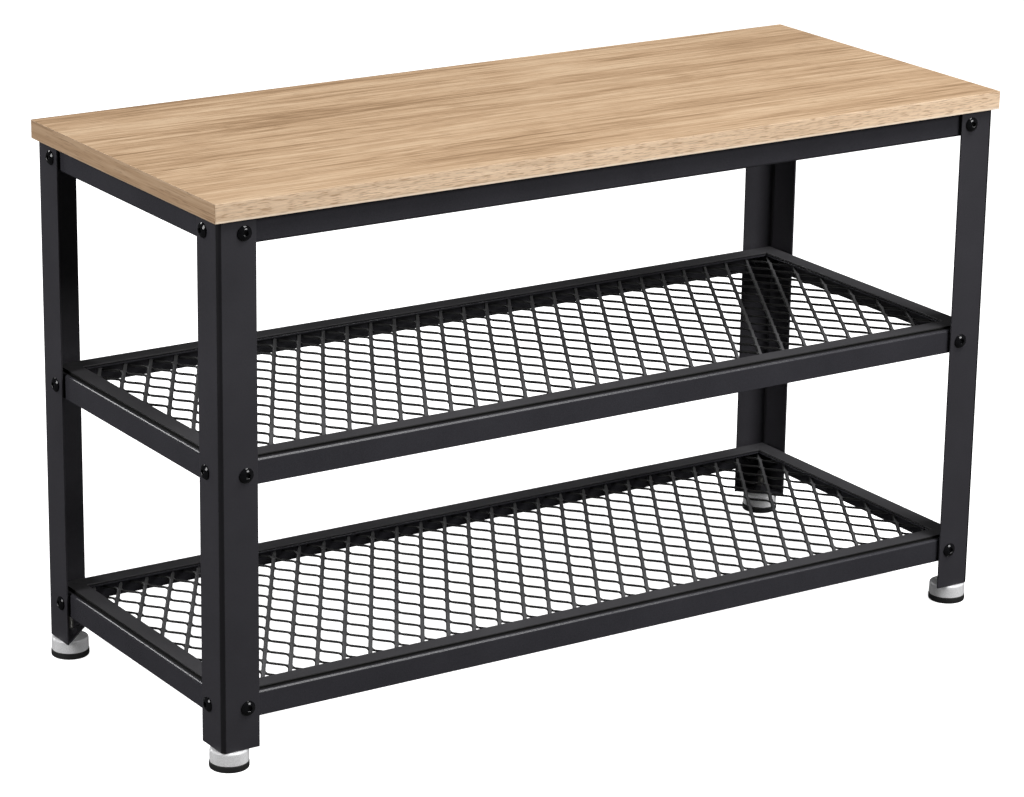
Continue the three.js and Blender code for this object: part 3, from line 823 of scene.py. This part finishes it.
def buildExpanded(level, tree, values):
    cell = buildCell(values)
    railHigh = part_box(level + "_front_rail")[1]
    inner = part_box(level + "_left_rail")[1].x, railHigh.y
    start = bpy.data.meshes.new("start")
    made = runTree(tree, start, {**values, "Cell": cell, "Finish": meshPaintedLightCoat}, "holder")
    shape = bmesh.new()
    shape.from_mesh(made)
    bpy.data.meshes.remove(made)
    place = (values["shiftX"], values["shiftY"], railHigh.z - values["belowRailTop"])
    bmesh.ops.translate(shape, vec=place, verts=shape.verts)
    for axis, limit in ((0, abs(inner[0])), (1, abs(inner[1]))):
        for sign in (-1, 1):
            point, normal = Vector((0, 0, 0)), Vector((0, 0, 0))
            point[axis] = sign * (limit + values["lap"])
            normal[axis] = sign
            geometry = shape.verts[:] + shape.edges[:] + shape.faces[:]
            bmesh.ops.bisect_plane(shape, geom=geometry, plane_co=point, plane_no=normal,
                                   clear_outer=True)
    loose = [v for v in shape.verts if not v.link_faces]
    bmesh.ops.delete(shape, geom=loose, context="VERTS")
    bmesh.ops.recalc_face_normals(shape, faces=shape.faces)
    if sum(face.normal.z for face in shape.faces) < 0:
        bmesh.ops.reverse_faces(shape, faces=shape.faces)
    mesh = bpy.data.meshes.new(level + "_expanded")
    for face in shape.faces:
        face.smooth = True
    shape.to_mesh(mesh)
    shape.free()
    mesh.materials.clear()
    mesh.materials.append(meshPaintedLightCoat)
    mesh.materials.append(paintedShadeCoat)
    piece = linkPiece(level + "_expanded_metal", mesh, "frame", "black_frame",
                      level + "_mesh_panel", weighted=False)
    addModifier(piece, "SUBSURF", levels=1, render_levels=1)
    # The strand rims made by Solidify get painted shade, so the edge-on strands read black
    addModifier(piece, "SOLIDIFY", thickness=values["thickness"], offset=0, use_even_offset=True,
                material_offset_rim=1)
    addModifier(piece, "WEIGHTED_NORMAL")
    bpy.data.objects.remove(cell)


cellTree = buildCellTree()
for level in shelves:
    buildExpanded(level, cellTree, {**sheet, **expanded[level]})
print("expanded metal built")


frameScrew = {"radius": 5.8 * mm, "height": 3 * mm, "rim": 0.7 * mm, "socketFlats": 4 * mm,
              "socketDepth": 1.8 * mm, "flatRadius": 2.9 * mm, "shank": 2.9 * mm, "length": 13 * mm}
boardScrew = {"radius": 4.2 * mm, "height": 2.2 * mm, "shank": 2 * mm, "recess": 1.2 * mm,
              "length": 4 * mm}


def buildPlaceTree():
    tree, given, result = geometryTree("placedParts", [
        ("Part", "Object", None), ("Size", "Float", 1.0), ("Spin", "Float", 3.1),
        ("Seed", "Int", 7), ("Finish", "Material", None)])
    part = addNode(tree, "GeometryNodeObjectInfo", links={"Object": given["Part"]}).outputs["Geometry"]
    facing = addNode(tree, "GeometryNodeInputNamedAttribute", {"Name": "facing"},
                     data_type="FLOAT_VECTOR").outputs["Attribute"]
    lined = addNode(tree, "FunctionNodeAlignRotationToVector", links={"Vector": facing}, axis="Z")
    spin = addNode(tree, "FunctionNodeRandomValue", data_type="FLOAT",
                   links={"Seed": given["Seed"]})
    tree.links.new(given["Spin"], spin.inputs[3])
    around = addNode(tree, "FunctionNodeAxisAngleToRotation", {"Axis": (0, 0, 1)},
                     {"Angle": spin.outputs[1]})
    turned = addNode(tree, "FunctionNodeRotateRotation",
                     links={"Rotation": lined.outputs[0], "Rotate By": around.outputs[0]},
                     rotation_space="LOCAL")
    placed = addNode(tree, "GeometryNodeInstanceOnPoints",
                     links={"Points": given["Geometry"], "Instance": part,
                            "Rotation": turned.outputs[0], "Scale": given["Size"]}).outputs[0]
    solid = addNode(tree, "GeometryNodeRealizeInstances", links={"Geometry": placed}).outputs[0]
    painted = addNode(tree, "GeometryNodeSetMaterial",
                      links={"Geometry": solid, "Material": given["Finish"]}).outputs[0]
    tree.links.new(painted, result["Geometry"])
    return tree


def pointsWithFacing(places):
    mesh = bpy.data.meshes.new("places")
    mesh.from_pydata([place for place, way in places], [], [])
    facing = mesh.attributes.new("facing", "FLOAT_VECTOR", "POINT")
    for i, (place, way) in enumerate(places):
        facing.data[i].vector = way
    return mesh


def buildScrewHead(values):
    radius, height, rim = values["radius"], values["height"], values["rim"]
    steps = 36
    shape = bmesh.new()
    sphere = (radius ** 2 + (height - rim) ** 2) / (2 * (height - rim))
    flatRadius = values["flatRadius"]
    profile = [(values["shank"], -values["length"]), (values["shank"], 0),
               (radius - 0.3 * mm, 0), (radius, 0.3 * mm), (radius, rim)]
    for i in range(1, 8):
        r = radius + (flatRadius - radius) * i / 7
        profile.append((r, height - sphere + sqrt(sphere ** 2 - r ** 2)))
    topFlat = profile[-1][1]
    loops = [[(r * cos(2 * pi * i / steps), r * sin(2 * pi * i / steps), z)
              for i in range(steps)] for r, z in profile]
    socket = values["socketFlats"] / sqrt(3)

    def hexRing(scale, z):
        ring = []
        for i in range(steps):
            t = 2 * pi * i / steps
            flat = cos(pi / 6) / cos((t % (pi / 3)) - pi / 6)
            ring.append((socket * scale * flat * cos(t), socket * scale * flat * sin(t), z))
        return ring

    loops.append(hexRing(1.07, topFlat))
    loops.append(hexRing(1.0, topFlat - 0.15 * mm))
    loops.append(hexRing(1.0, topFlat - values["socketDepth"]))
    loops.append(hexRing(0.35, topFlat - values["socketDepth"] - 0.5 * mm))
    addLoops(shape, loops)
    holder = bpy.data.objects.new("screwHead", newMesh("screwHead", shape, [screwBlack], 35))
    bpy.context.scene.collection.objects.link(holder)
    return holder


def buildBoardScrewHead(values):
    steps = 28
    shape = bmesh.new()
    radius, height = values["radius"], values["height"]
    profile = [(values["shank"], -values["length"]), (values["shank"], 0), (radius - 0.2 * mm, 0),
               (radius, 0.3 * mm), (radius * 0.93, height * 0.62), (radius * 0.72, height * 0.93),
               (radius * 0.45, height)]
    loops = [[(r * cos(2 * pi * i / steps), r * sin(2 * pi * i / steps), z)
              for i in range(steps)] for r, z in profile]

    def crossRing(scale, z):
        ring = []
        for i in range(steps):
            t = 2 * pi * i / steps
            lobe = 0.55 + 0.45 * abs(cos(2 * t)) ** 3
            reach = radius * 0.42 * scale * lobe
            ring.append((reach * cos(t), reach * sin(t), z))
        return ring

    loops += [crossRing(1, height - 0.05 * mm), crossRing(0.3, height - values["recess"])]
    addLoops(shape, loops)
    holder = bpy.data.objects.new("boardScrewHead", newMesh("boardScrewHead", shape, [zincPlate], 35))
    bpy.context.scene.collection.objects.link(holder)
    return holder


def screwPlaces():
    places, nodes = [], []
    for level in levels:
        for side in sideTurns:
            ends = ("left", "right") if side in ("front", "rear") else ("front", "rear")
            way = Vector((sin(radians(sideTurns[side])), -cos(radians(sideTurns[side])), 0))
            for end in ends:
                node = f"{level}_{side}_rail_screw_{end}"
                low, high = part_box(node)
                centre = (low + high) / 2
                depth = abs((high - low).dot(way)) / 2
                places.append((centre + way * (depth - frameScrew["height"]), way))
                nodes.append(node)
    return places, nodes


placeTree = buildPlaceTree()
screwHolder = buildScrewHead(frameScrew)
places, nodes = screwPlaces()
screwMesh = runTree(placeTree, pointsWithFacing(places),
                    {"Part": screwHolder, "Size": 1.0, "Spin": 1.05, "Seed": 7,
                     "Finish": screwBlack}, "screws")
linkPiece("frame_screws", screwMesh, "frame", "black_screw", *nodes)
bpy.data.objects.remove(screwHolder)

boardHolder = buildBoardScrewHead(boardScrew)
places, nodes = [], []
for name in corners:
    low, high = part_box("board_screw_" + name)
    centre = (low + high) / 2
    places.append((Vector((centre.x, centre.y, low.z + boardScrew["height"])), Vector((0, 0, -1))))
    nodes.append("board_screw_" + name)
boardScrewMesh = runTree(placeTree, pointsWithFacing(places),
                         {"Part": boardHolder, "Size": 1.0, "Spin": 1.6, "Seed": 3,
                          "Finish": zincPlate}, "boardScrews")
linkPiece("board_screws", boardScrewMesh, "frame", "zinc_steel", *nodes)
bpy.data.objects.remove(boardHolder)
print("screws placed")


foot = {
    "padRadius": 15.5 * mm, "padHeight": 4.9 * mm, "padEdge": 0.9 * mm, "capRadius": 15 * mm,
    "capBottom": 5.2 * mm, "capTop": 15.7 * mm, "capEdge": 1.6 * mm, "stem": 3 * mm,
    "stemTop": 37 * mm, "threadPitch": 1 * mm, "threadDepth": 0.45 * mm,
}


def addThread(shape, centre, radius, depth, pitch, low, high, steps=20):
    count = int((high - low) / pitch * steps)
    rootRadius, crestRadius = radius - depth, radius - 0.1 * depth
    profile = ((rootRadius, -0.48 * pitch), (crestRadius, -0.08 * pitch),
               (crestRadius, 0.08 * pitch), (rootRadius, 0.48 * pitch))
    rows = []
    for i in range(count + 1):
        t = 2 * pi * i / steps
        z = low + (high - low) * i / count
        rows.append([shape.verts.new((centre[0] + r * cos(t), centre[1] + r * sin(t), z + dz))
                     for r, dz in profile])
    for lower, upper in zip(rows, rows[1:]):
        for k in range(4):
            n = (k + 1) % 4
            shape.faces.new((lower[k], upper[k], upper[n], lower[n]))
    shape.faces.new(rows[0])
    shape.faces.new(rows[-1][::-1])


def buildFoot(name, values):
    low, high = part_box("foot_cap_" + name)
    at = ((low.x + high.x) / 2, (low.y + high.y) / 2, 0)
    body = "foot_" + name
    radius, top, edge = values["padRadius"], values["padHeight"], values["padEdge"]

    pad = bmesh.new()
    profile = [(0, 1.0 * mm), (4 * mm, 1.0 * mm), (4.4 * mm, 0), (radius - 4.5 * mm, 0),
               (radius - 4.2 * mm, 0.5 * mm), (radius - 3.2 * mm, 0.5 * mm), (radius - 2.9 * mm, 0),
               (radius - edge - 0.5 * mm, 0), (radius - 0.62 * edge, 0.18 * edge),
               (radius - 0.2 * edge, 0.55 * edge), (radius, edge + 0.3 * mm),
               (radius, top - 0.5 * mm), (radius - 0.12 * mm, top - 0.15 * mm),
               (radius - 0.45 * mm, top), (11 * mm, top), (11 * mm, top + 2.2 * mm),
               (0, top + 2.2 * mm)]
    addTurned(pad, profile, at, steps=56)
    linkPiece("foot_rubber_" + name, newMesh("footPad", pad, [padBlack], 35), body,
              "black_rubber", "foot_pad_" + name)

    cap = bmesh.new()
    radius, low, high = values["capRadius"], values["capBottom"], values["capTop"]
    edge = values["capEdge"]
    profile = [(11.3 * mm, low), (radius - 0.35 * mm, low), (radius - 0.1 * mm, low + 0.1 * mm),
               (radius, low + 0.35 * mm), (radius, high - edge)]
    profile += [(radius - edge + r, high - edge + z) for r, z in arc(0, 0, edge, 12, 90, 6)]
    profile += [(5.2 * mm, high), (4.9 * mm, high - 0.3 * mm), (4.6 * mm, high - 0.6 * mm),
                (3.3 * mm, high - 0.6 * mm), (3.3 * mm, 9.7 * mm), (7.3 * mm, 9.7 * mm),
                (7.3 * mm, 7.25 * mm), (11.3 * mm, 7.25 * mm), (11.3 * mm, low)]
    rings = [[(at[0] + r * cos(2 * pi * i / 56), at[1] + r * sin(2 * pi * i / 56), z)
              for i in range(56)] for r, z in profile[:-1]]
    addLoops(cap, rings, closed=True)
    linkPiece("foot_cap_shell_" + name, newMesh("footCap", cap, [capWhite], 35), body,
              "white_plastic", "foot_cap_" + name)

    stem = bmesh.new()
    root = values["stem"] - values["threadDepth"]
    profile = [(0, 7.4 * mm), (7 * mm, 7.4 * mm), (7 * mm, 9.4 * mm), (values["stem"], 9.4 * mm),
               (values["stem"], 14 * mm), (root + 0.08 * mm, 15 * mm),
               (root + 0.08 * mm, values["stemTop"] - 0.5 * mm),
               (root - 0.4 * mm, values["stemTop"]), (0, values["stemTop"])]
    addTurned(stem, profile, at, steps=32)
    addThread(stem, at, values["stem"], values["threadDepth"], values["threadPitch"],
              15.3 * mm, values["stemTop"] - 1.1 * mm)
    linkPiece("foot_stud_" + name, newMesh("footStem", stem, [zincPlate], 50), body,
              "zinc_steel", "foot_stem_" + name)


for name in corners:
    buildFoot(name, foot)
print("feet built")


studio = {
    "worldLight": 0.04, "floorSize": 24, "floorGlow": 0.92,
    "lights": [
        ("overhead", (0.8, -1.0, 2.5), (0, 0, 0.3), 1.6, 1.1, 54),
        ("frontSoft", (1.3, -2.8, 1.8), (0, 0, 0.25), 1.5, 1.0, 60),
        ("leftSoft", (-2.7, 0.0, 1.4), (0, 0, 0.2), 1.0, 1.4, 50),
        ("rearStrip", (-1.0, 2.6, 1.6), (0, 0, 0.2), 1.3, 0.5, 24),
    ],
}


def addLight(name, place, target, width, height, power):
    data = bpy.data.lights.new(name, "AREA")
    data.shape = "RECTANGLE"
    data.size, data.size_y, data.energy = width, height, power
    light = bpy.data.objects.new(name, data)
    light.location = place
    light.rotation_euler = (Vector(target) - Vector(place)).to_track_quat("-Z", "Y").to_euler()
    bpy.context.scene.collection.objects.link(light)


def buildWorld(values):
    world = bpy.data.worlds.new("studioWorld")
    bpy.context.scene.world = world
    world.use_nodes = True
    tree = world.node_tree
    tree.nodes.clear()
    rays = addNode(tree, "ShaderNodeLightPath").outputs["Is Camera Ray"]
    plain = addNode(tree, "ShaderNodeBackground", {"Color": (1, 1, 1, 1),
                                                   "Strength": values["worldLight"]})
    seen = addNode(tree, "ShaderNodeBackground", {"Color": (1, 1, 1, 1), "Strength": 1.05})
    mixed = addNode(tree, "ShaderNodeMixShader", links={"Fac": rays, 1: plain.outputs[0],
                                                        2: seen.outputs[0]})
    addNode(tree, "ShaderNodeOutputWorld", links={"Surface": mixed.outputs[0]})


def buildFloor(values):
    half = values["floorSize"] / 2
    mesh = bpy.data.meshes.new("floor")
    mesh.from_pydata([(-half, -half, 0), (half, -half, 0), (half, half, 0), (-half, half, 0)],
                     [], [(0, 1, 2, 3)])
    floor = bpy.data.objects.new("floor", mesh)
    bpy.context.scene.collection.objects.link(floor)
    material = bpy.data.materials.new("floorPaper")
    material.use_nodes = True
    tree = material.node_tree
    tree.nodes.clear()
    rays = addNode(tree, "ShaderNodeLightPath").outputs["Is Camera Ray"]
    pale = addNode(tree, "ShaderNodeBsdfDiffuse", {"Color": (0.9, 0.9, 0.9, 1)})
    glow = addNode(tree, "ShaderNodeEmission", {"Strength": values["floorGlow"]})
    lit = addNode(tree, "ShaderNodeAddShader", links={0: pale.outputs[0], 1: glow.outputs[0]})
    dull = addNode(tree, "ShaderNodeBsdfDiffuse", {"Color": (0.06, 0.06, 0.06, 1)})
    mixed = addNode(tree, "ShaderNodeMixShader", links={"Fac": rays, 1: dull.outputs[0],
                                                        2: lit.outputs[0]})
    addNode(tree, "ShaderNodeOutputMaterial", links={"Surface": mixed.outputs[0]})
    mesh.materials.append(material)
    floor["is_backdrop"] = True


buildWorld(studio)
buildFloor(studio)
for light in studio["lights"]:
    addLight(*light)
bpy.context.scene.view_settings.view_transform = "Standard"
print("studio lit")

low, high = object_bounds()
